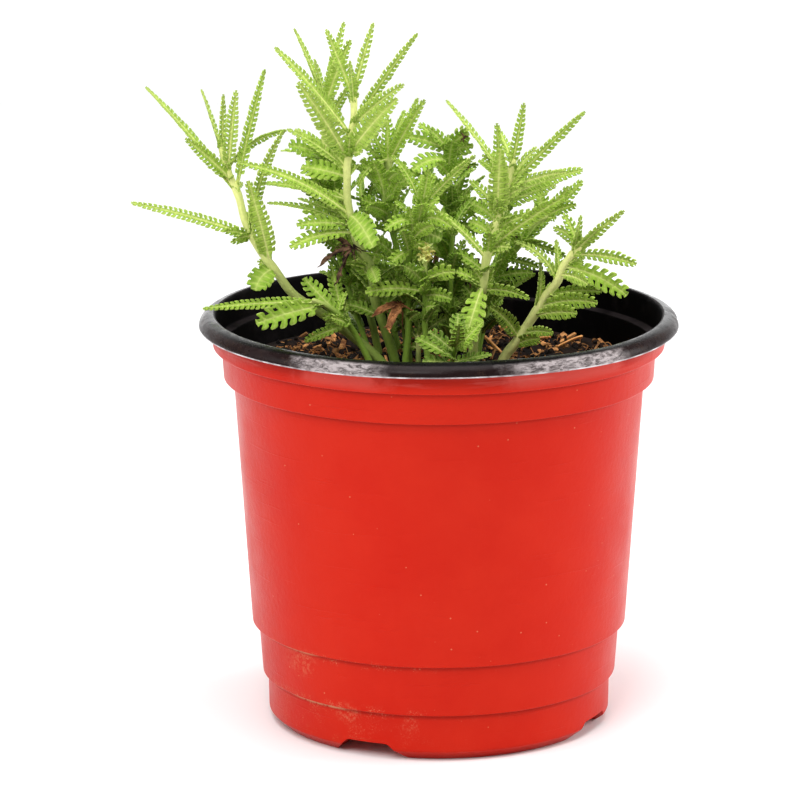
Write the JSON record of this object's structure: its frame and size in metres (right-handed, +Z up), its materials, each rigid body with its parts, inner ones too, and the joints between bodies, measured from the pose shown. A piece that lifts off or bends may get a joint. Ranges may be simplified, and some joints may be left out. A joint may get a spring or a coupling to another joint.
{
  "type": "potted lavender",
  "caption": "Young fringed lavender, not in flower, with toothed leaves on leafy stems, in a red plastic nursery pot with a rolled black rim and notched feet.",
  "frame": {"origin": "middle of the pot's flat underside", "axes": "+Z up along the pot's axis, -Y towards the front"},
  "size_m": [0.1624, 0.1428, 0.21],
  "materials": {
    "pot_plastic": "satin, black inside and on the rolled rim",
    "potting_mix": "rough, crumbly",
    "young_leaf": "matt, finely haired",
    "green_leaf": "matt, finely haired",
    "dark_leaf": "matt, finely haired",
    "dry_wood": "rough",
    "dried_leaf": "matt, shrivelled"
  },
  "bodies": {
    "root": {"pot": "pot_plastic", "potting_mix": "potting_mix", "shoot_left": "young_leaf", "shoot_left_low": "green_leaf", "shoot_centre": "young_leaf", "shoot_centre_back": "young_leaf", "shoot_middle": "green_leaf", "shoot_centre_right": "green_leaf", "shoot_right": "young_leaf", "shoot_right_back": "green_leaf", "shoot_right_front": "young_leaf", "shoot_front_small": "young_leaf", "shoot_bud": "green_leaf", "shoot_back": "dark_leaf", "shoot_fill_back_left": "dark_leaf", "shoot_fill_back": "dark_leaf", "shoot_fill_back_right": "dark_leaf", "shoot_fill_middle": "dark_leaf", "shoot_fill_left": "dark_leaf", "shoot_fill_front": "dark_leaf", "dead_stem_left": "dry_wood", "dead_stem_right": "dry_wood", "dried_leaves_left": "dried_leaf", "dried_leaf_middle": "dried_leaf"}
  },
  "joints": []
}
